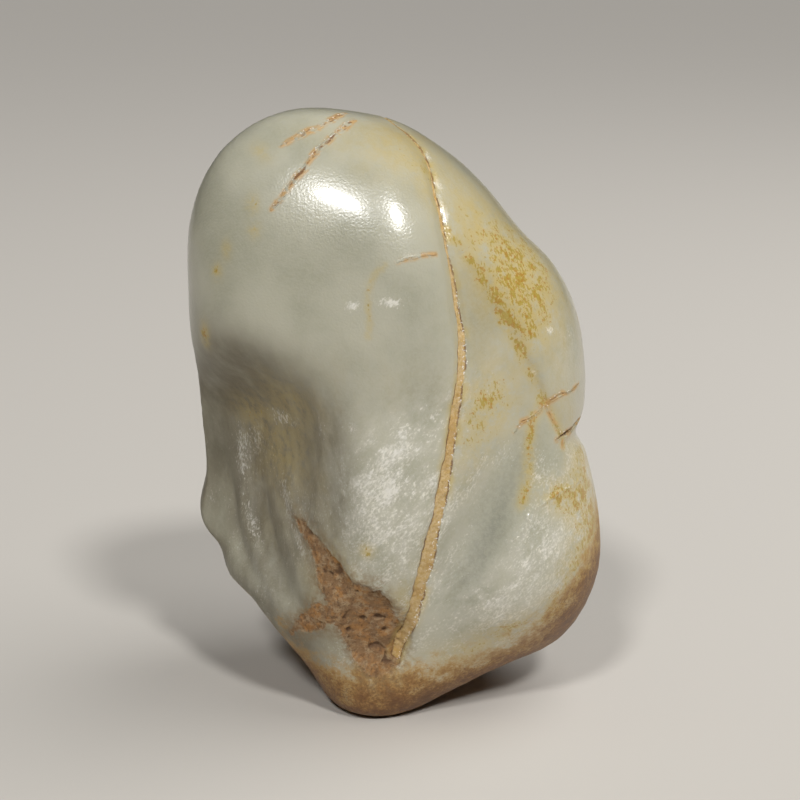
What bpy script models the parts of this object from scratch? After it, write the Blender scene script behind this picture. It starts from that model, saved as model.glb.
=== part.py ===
"""Raw jade boulder: one water-worn nephrite stone, standing on the worn flat of its narrow end.

Metres, +Z up. The origin is under the middle of the stone, on the surface that it stands on. The broad
face, which carries the clay-filled seam, looks along -Y. Sizes and places below are in millimetres.
"""

import math

import bmesh
import bpy
import numpy as np

MM = 0.001

# The broad face's outline: X to the right and Z up, clockwise from the crown. The last points reach
# below the floor, where the worn flat cuts the narrow end off.
OUTLINE = (
    (-32.5, 216.5), (-17.0, 215.0), (0.5, 211.0), (16.0, 202.0), (30.5, 190.0), (45.0, 172.5),
    (57.0, 161.0), (65.0, 146.0), (68.5, 128.5), (69.0, 112.0), (68.0, 105.0), (65.5, 98.5),
    (69.0, 94.0), (71.5, 85.5), (75.0, 68.0), (75.0, 48.5), (70.0, 33.0), (59.5, 19.5),
    (38.5, 12.5), (20.5, 5.5), (5.0, -8.0), (-8.0, -20.0), (-20.0, -10.0), (-28.0, 6.5),
    (-39.0, 24.0), (-47.5, 34.0), (-55.0, 43.0), (-63.5, 48.5), (-64.0, 55.5), (-71.6, 62.5),
    (-69.5, 79.5), (-70.5, 106.0), (-72.0, 136.0), (-72.0, 158.0), (-70.5, 183.0), (-62.5, 201.5),
    (-49.0, 212.5),
)
CORE_HEIGHT = 100.0  # the height of the point that the outline's radii are measured from
FRONT_DEPTH = 51.0  # from the outline's plane to the broad face
BACK_DEPTH = 54.0  # and to the back
BOXINESS = 0.84  # 1 rounds the cross-section like an ellipse, less squares it
OUTLINE_GRIP = 8.0  # how closely the outline's bumps keep to the outline
CALM_ARC = 24.0  # degrees over which the outline's bumps even out towards the middle of each face
OUTLINE_SKEW = 14.0  # degrees that the bumps of the sides slant from the outline to the middle of a face
TOE_HEIGHT = 70.0  # below this the underside rises towards the back, so that the stone stands on its toe
TOE_SLOPE = 0.12

# Lines that run down a face, each with its X at each height Z, and how far the stone beside it stands
# proud there, on its left (-1) or its right (+1), and rolls down to it over the rounding's width. Where
# clay or grit has washed out of a line, it is a groove with a width at each height and a depth.
LEFT, RIGHT = -1, 1
NO_WIDTH = ((0.0, 0.0), (1.0, 0.0))
SEAM = {
    "path": ((14.0, -6.0), (31.5, 1.5), (51.0, 8.0), (74.0, 12.7), (95.5, 17.3), (113.0, 20.0), (126.0, 22.0),
             (137.0, 23.0), (152.5, 21.5), (172.0, 18.0), (190.5, 14.0), (199.0, 11.8), (205.5, 7.5),
             (211.5, -0.5)),
    "proud": LEFT,
    "rise": ((0.0, 0.0), (40.0, 0.6), (90.0, 1.0), (120.0, 1.6), (150.0, 3.0), (190.0, 4.0), (215.0, 3.0)),
    "rounding": 10.0,
    "width": ((25.0, 3.0), (58.0, 4.4), (85.0, 3.6), (113.0, 2.9), (145.0, 3.2), (172.0, 1.8), (215.0, 1.4)),
    "depth": 0.8,
}
FRONT_LINES = {
    "seam": SEAM,
    "crease": {
        "path": ((100.0, 60.0), (108.0, 58.5), (118.0, 53.2), (132.5, 46.6), (148.5, 38.0), (162.0, 28.6),
                 (173.5, 21.0), (181.0, 16.5)),
        "proud": RIGHT,
        "rise": ((100.0, 0.0), (110.0, 1.6), (150.0, 1.8), (170.0, 1.0), (181.0, 0.0)),
        "rounding": 7.0,
    },
    "fold in the hollow": {
        "path": ((36.0, -28.0), (50.0, -34.0), (64.0, -41.0), (80.0, -44.0), (96.0, -43.0), (112.0, -39.0)),
        "proud": RIGHT,
        "rise": ((30.0, 0.0), (50.0, 2.0), (85.0, 2.4), (105.0, 1.2), (118.0, 0.0)),
        "rounding": 10.0,
    },
}
BACK_LINES = {
    "seam's far side": {
        "path": ((88.0, 4.0), (115.0, -6.0), (140.0, -14.0), (170.0, -17.0), (195.0, -12.0), (211.5, -0.5)),
        "proud": RIGHT,
        "rise": ((80.0, 0.0), (110.0, 1.0), (150.0, 2.0), (200.0, 2.5), (215.0, 2.5)),
        "rounding": 14.0,
        "width": ((88.0, 1.0), (120.0, 2.2), (160.0, 2.8), (215.0, 1.4)),
        "depth": 0.8,
    },
    "ledge across the back": {
        "path": ((22.0, 44.0), (44.0, 30.0), (66.0, 22.0), (88.0, 20.0), (104.0, 24.0)),
        "proud": LEFT,
        "rise": ((15.0, 0.0), (40.0, 2.2), (75.0, 2.4), (106.0, 0.0)),
        "rounding": 16.0,
    },
}

# Swells and hollows of each face: centre X and Z, half width, half height, degrees that the top leans
# towards +X, depth (a swell is negative) and edge (1 is a soft slope, more is a steeper one).
FRONT_RELIEF = {
    "left hollow": (-44.0, 94.0, 20.0, 34.0, -10.0, 4.0, 1.2),
    "hollow's ceiling": (-44.0, 118.0, 24.0, 13.0, 20.0, 4.0, 1.0),
    "shoulder beside the seam": (4.0, 178.0, 18.0, 32.0, 0.0, -3.5, 1.0),
    "buttress": (-4.0, 86.0, 17.0, 42.0, 8.0, -3.5, 1.0),
    "facet right of the seam": (31.0, 142.0, 10.0, 30.0, -22.0, 2.6, 1.0),
    "trough": (30.0, 80.0, 8.5, 36.0, 24.0, 5.0, 1.0),
    "lower right swell": (50.0, 52.0, 24.0, 26.0, 20.0, -5.5, 1.0),
    "toe": (-8.0, 4.0, 26.0, 16.0, 0.0, -8.5, 1.0),
    "clay pocket": (-5.0, 38.0, 10.5, 17.0, -14.0, 3.4, 3.0),
    "pocket's tongue": (-24.5, 66.0, 5.5, 15.0, -35.0, 2.4, 2.0),
    "notch": (66.0, 100.0, 9.0, 2.2, 20.0, 2.4, 1.5),
}
BACK_RELIEF = {
    "side behind the hollow": (-66.0, 84.0, 26.0, 36.0, 0.0, -7.0, 1.0),
    "upper hollow": (30.0, 150.0, 24.0, 34.0, -30.0, 5.0, 1.0),
    "shoulder": (-38.0, 168.0, 26.0, 26.0, 0.0, -3.0, 1.0),
    "heel": (-8.0, 64.0, 22.0, 30.0, -20.0, -4.0, 1.0),
    "back of the toe": (14.0, 6.0, 22.0, 14.0, 0.0, -18.0, 1.0),
    "chipped scallop": (44.0, 72.0, 13.0, 18.0, 20.0, 3.0, 2.0),
}

# Under the dome the broad face turns back towards the left: the wall's Y at each X, how soft its edge is,
# and the share of it that shows at each height.
WALL = ((-75.0, 6.0), (-66.0, 3.0), (-56.0, -4.0), (-40.0, -23.5), (-20.0, -49.0), (0.0, -74.0))
WALL_EDGE = 4.0
WALL_SHARE = ((25.0, 0.0), (38.0, 0.0), (60.0, 0.8), (85.0, 1.0), (106.0, 1.0), (143.0, 0.0), (150.0, 0.0))

# Worn planes: the outward direction, the distance from the core point, and how soft their edges are.
WORN_PLANES = (
    ((-0.45, 0.85, 0.30), 55.0, 6.0),
    ((0.65, 0.72, 0.15), 60.0, 5.0),
    ((0.0, 0.75, -0.60), 74.0, 5.0),
)

FACE_BLEND = 20.0  # the front's swells and hollows fade into the back's over this depth
FOOT_EDGE = 3.0  # the rounding between the worn flat and the sides
GROOVE_BANK = 1.2  # how far a washed-out line's banks reach to each side of it
POCKET_WALL = (0.8, 1.15)  # where the pocket's wall starts and ends, as parts of its half width

COARSE_ROUNDS = 5  # how often the starting icosahedron is divided
FINE_ROUNDS = 2  # and how often its long edges near the seam and the rims are halved
FINE_EDGE = 3.2  # edges shorter than this stay whole
FINE_BAND = 4.5  # how far to each side of the seam the fine edges reach
FINE_FROM = 12.0  # and how low
FINE_RIM = (0.15, 0.75)  # the part of an oval's slope where its edges are fine
SNAP = 0.5  # points this close to a drawn line slide onto it

JADE_COLOUR = (0.36, 0.33, 0.25, 1.0)
JADE_ROUGHNESS = 0.35


def smooth_curve(points, at):
    """Values of a smooth curve through (place, value) points, read at the given places."""
    p, v = np.array(points, dtype=float).T
    slope = np.gradient(v, p)
    i = np.clip(np.searchsorted(p, at, side="right") - 1, 0, len(p) - 2)
    span = p[i + 1] - p[i]
    t = np.clip((at - p[i]) / span, 0, 1)
    return (
        v[i] * (2 * t**3 - 3 * t**2 + 1)
        + slope[i] * span * (t**3 - 2 * t**2 + t)
        + v[i + 1] * (3 * t**2 - 2 * t**3)
        + slope[i + 1] * span * (t**3 - t**2)
    )


def outline_radius(angle):
    """The distance from the core point to the outline, at each angle."""
    x, z = np.array(OUTLINE).T
    around = sorted(zip(np.arctan2(z - CORE_HEIGHT, x), np.hypot(x, z - CORE_HEIGHT)))
    before = [(a - 2 * math.pi, r) for a, r in around[-3:]]
    after = [(a + 2 * math.pi, r) for a, r in around[:3]]
    return smooth_curve(before + around + after, np.remainder(angle + math.pi, 2 * math.pi) - math.pi)


def calm_radius(angle):
    """The same with the outline's bumps evened out."""
    turns = np.radians(np.linspace(-CALM_ARC, CALM_ARC, 9))
    return sum(outline_radius(angle + turn) for turn in turns) / len(turns)


def body(directions):
    """Where each unit direction meets the stone, before its planes and hollows."""
    across, back, up = directions.T
    angle = np.arctan2(up, across)
    ring = np.hypot(across, up) ** BOXINESS
    slanted = angle + math.radians(OUTLINE_SKEW) * back * across**2
    bumps = outline_radius(slanted) - calm_radius(slanted)
    radius = (calm_radius(angle) + bumps * ring**OUTLINE_GRIP) * ring
    depth = np.where(back < 0, FRONT_DEPTH, BACK_DEPTH)
    x = radius * np.cos(angle)
    y = np.sign(back) * depth * np.abs(back) ** BOXINESS
    z = CORE_HEIGHT + radius * np.sin(angle)
    return x, y, z + TOE_SLOPE * y * np.clip(1 - z / TOE_HEIGHT, 0, 1)


def oval(x, z, centre_x, centre_z, half_width, half_height, lean, edge):
    """1 in the middle of a leaning oval, falling to 0 outside it."""
    c, s = math.cos(math.radians(lean)), math.sin(math.radians(lean))
    u = ((x - centre_x) * c - (z - centre_z) * s) / half_width
    w = ((x - centre_x) * s + (z - centre_z) * c) / half_height
    return np.exp(-((u * u + w * w) ** edge))


def offset(x, z, path):
    """The distance towards +X from a line that runs down a face."""
    slope = (smooth_curve(path, z + 1) - smooth_curve(path, z - 1)) / 2
    return (x - smooth_curve(path, z)) / np.hypot(1, slope)


def relief(x, z, swells, lines):
    """How deep a face lies under its plain body, at each place."""
    sunk = np.zeros_like(x)
    for centre_x, centre_z, half_width, half_height, lean, depth, edge in swells.values():
        sunk += depth * oval(x, z, centre_x, centre_z, half_width, half_height, lean, edge)
    for line in lines.values():
        away = offset(x, z, line["path"])
        reach = np.clip(away * line["proud"] / line["rounding"], 0, 1)
        sunk -= smooth_curve(line["rise"], z) * np.sqrt(reach * (2 - reach))
        if "width" in line:
            past_edge = np.abs(away) - smooth_curve(line["width"], z) / 2
            sunk += line["depth"] * np.clip(1 - past_edge / GROOVE_BANK, 0, 1)
    return sunk


def stone(directions):
    """The finished surface at each unit direction."""
    x, y, z = body(directions)
    front = np.clip(0.5 - y / FACE_BLEND, 0, 1)
    back = 1 - front
    y = y + front * relief(x, z, FRONT_RELIEF, FRONT_LINES) - back * relief(x, z, BACK_RELIEF, BACK_LINES)
    past_wall = (smooth_curve(WALL, x) - y) / WALL_EDGE
    y = y + smooth_curve(WALL_SHARE, z) * WALL_EDGE * np.logaddexp(0, past_wall)
    for normal, reach, softness in WORN_PLANES:
        n = np.array(normal) / np.linalg.norm(normal)
        over = (x * n[0] + y * n[1] + (z - CORE_HEIGHT) * n[2] - reach) / softness
        cut = softness * np.logaddexp(0, over)
        x, y, z = x - cut * n[0], y - cut * n[1], z - cut * n[2]
    z = np.where(z < FOOT_EDGE, (np.maximum(z, -FOOT_EDGE) + FOOT_EDGE) ** 2 / (4 * FOOT_EDGE), z)
    return np.stack([x, y, z], axis=1)


def wants_fine_edges(place):
    """Whether each place on the surface is near the seam or a rim."""
    x, y, z = place.T
    near = (np.abs(offset(x, z, SEAM["path"])) < FINE_BAND) & (z > FINE_FROM)
    for name in ("clay pocket", "pocket's tongue", "notch"):
        *shape, depth, edge = FRONT_RELIEF[name]
        inside = oval(x, z, *shape, edge=1)
        near |= (inside > FINE_RIM[0]) & (inside < FINE_RIM[1])
    return near & (y < 0)


def line_edge(line, side, beyond, facing):
    """An edge of a line: the signed distance to it from each direction's place, and where it is drawn."""
    width = line.get("width", NO_WIDTH)
    lowest, highest = line["path"][0][0], line["path"][-1][0]

    def distance(directions):
        x, y, z = body(directions)
        return offset(x, z, line["path"]) - side * (smooth_curve(width, z) / 2 + beyond)

    def drawn(directions):
        x, y, z = body(directions)
        return (y * facing > 0) & (z > lowest) & (z < highest)

    return distance, drawn


def pocket_rim(part_of_width):
    """A ring around the pocket: the signed distance to it, and where it is drawn."""
    *shape, depth, edge = FRONT_RELIEF["clay pocket"]

    def distance(directions):
        x, y, z = body(directions)
        radius = np.sqrt(-np.log(oval(x, z, *shape, edge=1)))
        return (radius - part_of_width) * shape[2]

    def drawn(directions):
        return directions[:, 1] < 0

    return distance, drawn


def settle(directions, distance):
    """Directions moved until the distance there is zero."""
    step = 1e-4
    for _ in range(5):
        miss = distance(directions)
        ramp = np.stack([(distance(directions + step * axis) - miss) / step for axis in np.eye(3)], axis=1)
        directions = directions - ramp * (miss / (ramp**2).sum(axis=1))[:, None]
        directions /= np.linalg.norm(directions, axis=1)[:, None]
    return directions


def draw_line(form, distance, drawn):
    """Slide and add points so that edges of the mesh follow the line where the distance is zero."""
    form.verts.index_update()
    directions = np.array([v.co for v in form.verts])
    miss = np.where(drawn(directions), distance(directions), np.nan)
    close = np.abs(miss) < SNAP
    miss[close] = 0
    on_line = [v for v, chosen in zip(form.verts, close) if chosen]
    for edge in list(form.edges):
        start, end = (miss[v.index] for v in edge.verts)
        if start * end < 0:
            on_line.append(bmesh.utils.edge_split(edge, edge.verts[0], start / (start - end))[1])
    settled = settle(np.array([v.co.normalized() for v in on_line]), distance)
    for vert, direction in zip(on_line, settled):
        vert.co = direction
    bmesh.ops.connect_verts(form, verts=on_line)
    bmesh.ops.triangulate(form, faces=[f for f in form.faces if len(f.verts) > 3])


def refine(form):
    """Halve the long edges near the seam and the rims."""
    form.verts.index_update()
    place = stone(np.array([v.co.normalized() for v in form.verts]))
    ends = np.array([[v.index for v in e.verts] for e in form.edges])
    length = np.linalg.norm(place[ends[:, 0]] - place[ends[:, 1]], axis=1)
    chosen = wants_fine_edges(place[ends].mean(axis=1)) & (length > FINE_EDGE)
    edges = [e for e, fine in zip(form.edges, chosen) if fine]
    bmesh.ops.subdivide_edges(form, edges=edges, cuts=1)
    bmesh.ops.triangulate(form, faces=[f for f in form.faces if len(f.verts) > 3])


def draw_lines(form):
    """Give the mesh edges along every seam, crease, fold and rim."""
    for facing, lines in ((-1, FRONT_LINES), (1, BACK_LINES)):
        for line in lines.values():
            if "width" not in line:
                draw_line(form, *line_edge(line, LEFT, 0, facing))
                continue
            for side in (LEFT, RIGHT):
                draw_line(form, *line_edge(line, side, 0, facing))
                draw_line(form, *line_edge(line, side, GROOVE_BANK, facing))
    for part_of_width in POCKET_WALL:
        draw_line(form, *pocket_rim(part_of_width))


def nephrite():
    """Pale grey-green jade with a waxy, water-worn skin."""
    material = bpy.data.materials.new("jade")
    material.use_nodes = True
    shader = material.node_tree.nodes["Principled BSDF"]
    shader.inputs["Base Color"].default_value = JADE_COLOUR
    shader.inputs["Roughness"].default_value = JADE_ROUGHNESS
    shader.inputs["Metallic"].default_value = 0.0
    return material


def make_boulder():
    """The boulder: a ball of triangles, finer near its lines, laid onto the stone's surface."""
    form = bmesh.new()
    bmesh.ops.create_icosphere(form, subdivisions=COARSE_ROUNDS, radius=1)
    for _ in range(FINE_ROUNDS):
        refine(form)
    for vert in form.verts:
        vert.co.normalize()
    draw_lines(form)
    places = stone(np.array([v.co for v in form.verts]))
    middle = (places.min(axis=0) + places.max(axis=0)) / 2
    places[:, :2] -= middle[:2]
    for vert, place in zip(form.verts, places * MM):
        vert.co = place
    mesh = bpy.data.meshes.new("jade_boulder")
    form.to_mesh(mesh)
    form.free()
    mesh.shade_smooth()
    mesh.materials.append(nephrite())
    boulder = bpy.data.objects.new("jade_boulder", mesh)
    bpy.context.scene.collection.objects.link(boulder)


for old in list(bpy.data.objects):
    bpy.data.objects.remove(old)
make_boulder()
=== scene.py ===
# %% [markdown]
# # A raw jade boulder
#
# A river tumbled this stone for thousands of years. Its dome is polished, its hollows are still rough,
# clay has washed out of a seam that runs down its broad face, and iron has stained its skin yellow and
# russet.
#
# The lesson builds that skin around a plain solid of the right form. The solid is copied, smoothed and
# divided into small triangles. Seams, folds, cracks and pits are then carved into it by moving its
# points, and one material paints it, from fields that were measured on the same points. Lengths in the
# lesson are millimetres.

# %% Load the solid
import math
from functools import reduce

import bmesh
import bpy
import numpy as np
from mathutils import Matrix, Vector
from mathutils.bvhtree import BVHTree


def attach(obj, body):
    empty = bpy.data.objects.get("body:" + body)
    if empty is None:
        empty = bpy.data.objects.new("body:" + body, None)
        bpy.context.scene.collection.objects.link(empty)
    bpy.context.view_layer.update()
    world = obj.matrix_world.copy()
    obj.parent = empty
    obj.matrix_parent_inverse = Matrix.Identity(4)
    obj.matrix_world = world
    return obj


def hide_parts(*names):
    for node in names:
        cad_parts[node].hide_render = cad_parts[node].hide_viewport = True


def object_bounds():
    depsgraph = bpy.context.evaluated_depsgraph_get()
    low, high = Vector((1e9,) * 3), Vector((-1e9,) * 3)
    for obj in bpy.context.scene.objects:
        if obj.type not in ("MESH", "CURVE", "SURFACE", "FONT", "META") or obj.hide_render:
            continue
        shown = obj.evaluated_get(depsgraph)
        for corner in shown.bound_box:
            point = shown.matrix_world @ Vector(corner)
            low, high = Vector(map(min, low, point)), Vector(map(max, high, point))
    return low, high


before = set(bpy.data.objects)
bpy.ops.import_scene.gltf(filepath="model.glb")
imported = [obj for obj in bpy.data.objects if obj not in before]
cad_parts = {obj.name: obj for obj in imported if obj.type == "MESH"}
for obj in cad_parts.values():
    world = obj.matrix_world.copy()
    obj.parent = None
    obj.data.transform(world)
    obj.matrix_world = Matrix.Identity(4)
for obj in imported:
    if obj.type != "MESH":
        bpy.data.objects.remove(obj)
cad_box = [list(corner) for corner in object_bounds()]
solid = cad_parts["jade_boulder"]
MM = 0.001
low, high = (np.array(corner) / MM for corner in cad_box)
print("the stone is", np.round(high - low, 1), "mm")

# %% [markdown]
# ## The camera
#
# A long lens keeps a stone's proportions true. The camera stands in front of the broad face and looks
# down on it at 15 degrees, and its distance follows from how large the stone should be in the picture.

# %% Place the camera
PICTURE = 800  # pixels across
SCALE = 2.755  # pixels for each millimetre at the middle of the stone
LENS, FILM = 85.0, 36.0
LOOKS_DOWN = math.radians(15)
MIDDLE = np.array([0.8, -0.2, 110.0])

camera = bpy.data.objects.new("camera", bpy.data.cameras.new("camera"))
bpy.context.scene.collection.objects.link(camera)
camera.data.lens = LENS
camera.data.sensor_width = FILM
camera.data.clip_start = 0.01
away = LENS / FILM * PICTURE / SCALE
camera.location = (MIDDLE + away * np.array([0, -math.cos(LOOKS_DOWN), math.sin(LOOKS_DOWN)])) * MM
camera.rotation_euler = (math.radians(90) - LOOKS_DOWN, 0, 0)
bpy.context.scene.camera = camera
print("the camera is", round(away), "mm from the stone")

# %% [markdown]
# ## Light and floor
#
# Two far softboxes above the camera, one to each side, give a waxy stone its twin highlights. They are so
# far away that their light is parallel and the pale floor is evenly lit, so they are sun lamps with a
# softbox's width. A large soft panel high on the right, a little behind the stone, lights its flank. It
# is screened off from reflections, so that it adds no third highlight.

# %% Set the lamps
SOFTBOXES = {  # degrees to the right, degrees up, width in degrees, strength
    "left softbox": (-19, 47, 7.8, 1.35),
    "right softbox": (25, 47, 8.0, 1.55),
}
PANEL = {"right": 92, "up": 58, "away": 1800, "size": 1500, "power": 22.0}


def toward(right, up):
    """The direction to something so many degrees to the right of the camera and above the floor."""
    turn, rise = math.radians(right), math.radians(up)
    return Vector((math.sin(turn) * math.cos(rise), -math.cos(turn) * math.cos(rise), math.sin(rise)))


def lamp(name, kind, direction, away=1.0):
    """A lamp that shines at the middle of the stone."""
    new = bpy.data.objects.new(name, bpy.data.lights.new(name, kind))
    bpy.context.scene.collection.objects.link(new)
    new.location = Vector(MIDDLE) * MM + direction * away
    new.rotation_euler = (-direction).to_track_quat("-Z", "Y").to_euler()
    return new


for name, (right, up, width, strength) in SOFTBOXES.items():
    softbox = lamp(name, "SUN", toward(right, up)).data
    softbox.angle = math.radians(width)
    softbox.energy = strength
panel = lamp("right panel", "AREA", toward(PANEL["right"], PANEL["up"]), PANEL["away"] * MM)
panel.data.size = PANEL["size"] * MM
panel.data.energy = PANEL["power"]
panel.visible_glossy = False
print(len(bpy.data.lights), "lamps")

# %% [markdown]
# A room lights a stone from everywhere, but weakly, so the world around this one is dim and its hollow
# stays deep. Where the camera looks past the floor it sees a pale wall instead, which throws no light.

# %% Set the room
ROOM_LIGHT, ROOM_STRENGTH = (0.9, 0.88, 0.85, 1), 0.035
WALL_SEEN = (0.55, 0.53, 0.50, 1)

world = bpy.data.worlds.new("pale room")
world.use_nodes = True
nodes, links = world.node_tree.nodes, world.node_tree.links
light, wall = nodes["Background"], nodes.new("ShaderNodeBackground")
light.inputs["Color"].default_value = ROOM_LIGHT
light.inputs["Strength"].default_value = ROOM_STRENGTH
wall.inputs["Color"].default_value = WALL_SEEN
either = nodes.new("ShaderNodeMixShader")
links.new(nodes.new("ShaderNodeLightPath").outputs["Is Camera Ray"], either.inputs[0])
links.new(light.outputs[0], either.inputs[1])
links.new(wall.outputs[0], either.inputs[2])
links.new(either.outputs[0], nodes["World Output"].inputs["Surface"])
bpy.context.scene.world = world
bpy.context.scene.view_settings.view_transform = "Standard"
print("the room's light has strength", ROOM_STRENGTH)

# %% [markdown]
# The floor is a plain pale sheet. It reaches so far that no edge of it shows behind the stone.

# %% Lay the floor
FLOOR_REACH = 40.0  # metres
floor_mesh = bpy.data.meshes.new("floor")
corners = [(x * FLOOR_REACH, y * FLOOR_REACH, 0) for x, y in ((-1, -1), (1, -1), (1, 1), (-1, 1))]
floor_mesh.from_pydata(corners, [], [(0, 1, 2, 3)])
floor = bpy.data.objects.new("floor", floor_mesh)
bpy.context.scene.collection.objects.link(floor)
print("the floor is", 2 * FLOOR_REACH, "m wide")

# %% [markdown]
# ## A fine skin for the solid
#
# The solid has a few thousand flat faces, and water leaves no facets. One round of subdivision rounds
# them, and keeps the form within a hair of the solid.

# %% Smooth the solid
def smoothed(source):
    """A mesh that is one round of subdivision finer than the source."""
    form = bmesh.new()
    form.from_mesh(source.data)
    bmesh.ops.remove_doubles(form, verts=form.verts, dist=0.01 * MM)
    mesh = bpy.data.meshes.new("smooth")
    form.to_mesh(mesh)
    form.free()
    copy = bpy.data.objects.new("smooth", mesh)
    bpy.context.scene.collection.objects.link(copy)
    copy.modifiers.new("round", "SUBSURF").levels = 1
    fine = bpy.data.meshes.new_from_object(copy.evaluated_get(bpy.context.evaluated_depsgraph_get()))
    bpy.data.objects.remove(copy)
    return fine


form = bmesh.new()
form.from_mesh(smoothed(solid))
bmesh.ops.triangulate(form, faces=form.faces)
surface = BVHTree.FromBMesh(form)
print("the smooth skin has", len(form.faces), "triangles")

# %% [markdown]
# Later the edges near a crack, the seam or the clay are halved again, so that the triangles go where the
# detail is. This helper halves the edges that are longer than is wanted at their place.

# %% Learn to divide a skin
def divide(form, wanted):
    """Halve the edges that are longer than wanted(places) says."""
    places = np.array([v.co for v in form.verts]) / MM
    ends = np.array([[v.index for v in e.verts] for e in form.edges])
    length = np.linalg.norm(places[ends[:, 0]] - places[ends[:, 1]], axis=1)
    too_long = length > wanted((places[ends[:, 0]] + places[ends[:, 1]]) / 2)
    chosen = [edge for edge, divides in zip(form.edges, too_long) if divides]
    bmesh.ops.subdivide_edges(form, edges=chosen, cuts=1)
    bmesh.ops.triangulate(form, faces=[f for f in form.faces if len(f.verts) > 3])
    form.verts.index_update()
    return len(chosen)


# %% [markdown]
# ## Lines on the stone
#
# A seam, a crack or a fold is a line that lies on the surface. It is drawn here as a sculptor would
# pencil it, through a few stops. A real crack has no corners, so the curve through the stops is a smooth
# one.

# %% Draw a curve
LINE_STEP = 0.6  # the distance between a line's points


def curve_through(stops):
    """Points at even steps along a smooth curve through the stops."""
    stops = np.array(stops, dtype=float)
    place = np.concatenate([[0], np.cumsum(np.linalg.norm(np.diff(stops, axis=0), axis=1))])
    slope = np.gradient(stops, place, axis=0)
    at = np.arange(0, place[-1], LINE_STEP)
    i = np.clip(np.searchsorted(place, at, side="right") - 1, 0, len(place) - 2)
    span = (place[i + 1] - place[i])[:, None]
    t = (at - place[i])[:, None] / span
    return (
        stops[i] * (2 * t**3 - 3 * t**2 + 1)
        + slope[i] * span * (t**3 - 2 * t**2 + t)
        + stops[i + 1] * (3 * t**2 - 2 * t**3)
        + slope[i + 1] * span * (t**3 - t**2)
    )


# %% [markdown]
# Each stop has its X and Z on the broad face or on the back, and its depth is found by looking at the
# stone from that side. Then every point of the curve drops onto the surface, and notes which way the line
# runs there.

# %% Draw a line on the surface
def on_face(x, z, side=-1):
    """Where the face at -Y (side -1) or +Y (side 1) is, at this X and Z."""
    start = Vector((x, side * 200, z)) * MM
    hit = surface.ray_cast(start, Vector((0, -side, 0)))[0]
    if hit is None:
        hit = surface.find_nearest(Vector((x, 0, z)) * MM)[0]
    return np.array(hit) / MM


def drawn(front=(), back=()):
    """A line through stops on the broad face, and on over the crown to stops on the back."""
    stops = [on_face(x, z) for x, z in front] + [on_face(x, z, 1) for x, z in back]
    points, normals = [], []
    for place in curve_through(stops):
        hit, normal, _, _ = surface.find_nearest(Vector(place) * MM)
        points.append(np.array(hit) / MM)
        normals.append(np.array(normal))
    points, normals = np.array(points), np.array(normals)
    along = np.gradient(points, axis=0)
    along /= np.linalg.norm(along, axis=1)[:, None]
    aside = np.cross(along, normals)
    return {"points": points, "along": along, "aside": aside / np.linalg.norm(aside, axis=1)[:, None]}


# %% [markdown]
# A carver measures from the pencilled line: so far along it, so far to one side. So does this helper, for
# every point of the skin that is within reach of the line.

# %% Measure from a line
NOWHERE = 99.0  # the distance of points that a line doesn't reach
AT_ONCE = 4000  # points that are compared with a line at once


def measured(places, line, reach=12.0):
    """How far along a line and how far aside from it each place is. Far from the line both are NOWHERE."""
    along, aside = np.full(len(places), NOWHERE), np.full(len(places), NOWHERE)
    above_start = places > line["points"].min(axis=0) - reach
    below_end = places < line["points"].max(axis=0) + reach
    index = np.flatnonzero(np.all(above_start & below_end, axis=1))
    for part in np.array_split(index, max(1, len(index) // AT_ONCE)):
        offset = places[part][:, None, :] - line["points"][None]
        nearest = (offset**2).sum(axis=2).argmin(axis=1)
        offset = offset[np.arange(len(part)), nearest]
        forward = (offset * line["along"][nearest]).sum(axis=1)
        sideways = (offset * line["aside"][nearest]).sum(axis=1)
        distance = np.sqrt(np.maximum((offset**2).sum(axis=1) - forward**2, 0))
        past_end = ((nearest == 0) & (forward < 0)) | ((nearest == len(line["points"]) - 1) & (forward > 0))
        distance = np.where(past_end, np.hypot(distance, forward), distance)
        along[part] = nearest * LINE_STEP + forward
        aside[part] = np.where(distance < reach, np.where(sideways < 0, -distance, distance), NOWHERE)
    return along, aside


# %% [markdown]
# ## The seam
#
# The seam is an old joint in the rock, filled with tan clay. It runs from the tip up the broad face, over
# the crown and down the back. Its width changes along the way, so the width is read from stops too: the
# distance from the tip, and the width there.

# %% Draw the seam
SEAM = drawn(
    front=(
        (-0.7, 27), (0.6, 31.5), (3.3, 38.5), (6.5, 51), (9.3, 63.5), (11.5, 74), (14.1, 85.5),
        (15.8, 95.5), (17.3, 104.5), (18.6, 113), (20.3, 125), (21.5, 137), (21.1, 146), (19.9, 153),
        (18.5, 162), (16.5, 172), (14.7, 182), (12.5, 190.5), (10.3, 199), (6.0, 205.5), (-1.9, 211),
    ),
    back=((-8, 205), (-14, 195), (-18.6, 170), (-15.6, 140), (-7.6, 115), (2.4, 88)),
)
SEAM_WIDTH = (
    (0, 3.0), (20, 4.2), (40, 4.6), (60, 3.7), (78, 3.2), (95, 2.6), (118, 3.2), (135, 1.8), (150, 1.0),
    (175, 0.9), (200, 0.7), (230, 1.6), (265, 2.4), (320, 1.0),
)
seam_length = len(SEAM["points"]) * LINE_STEP
print("the seam is", round(seam_length), "mm long")

# %% [markdown]
# ## Cracks, folds and edges
#
# Cracks opened where the stone was knocked. Most are hairlines, and the notch is the one that split the
# edge open. One crack is on the back.

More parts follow.
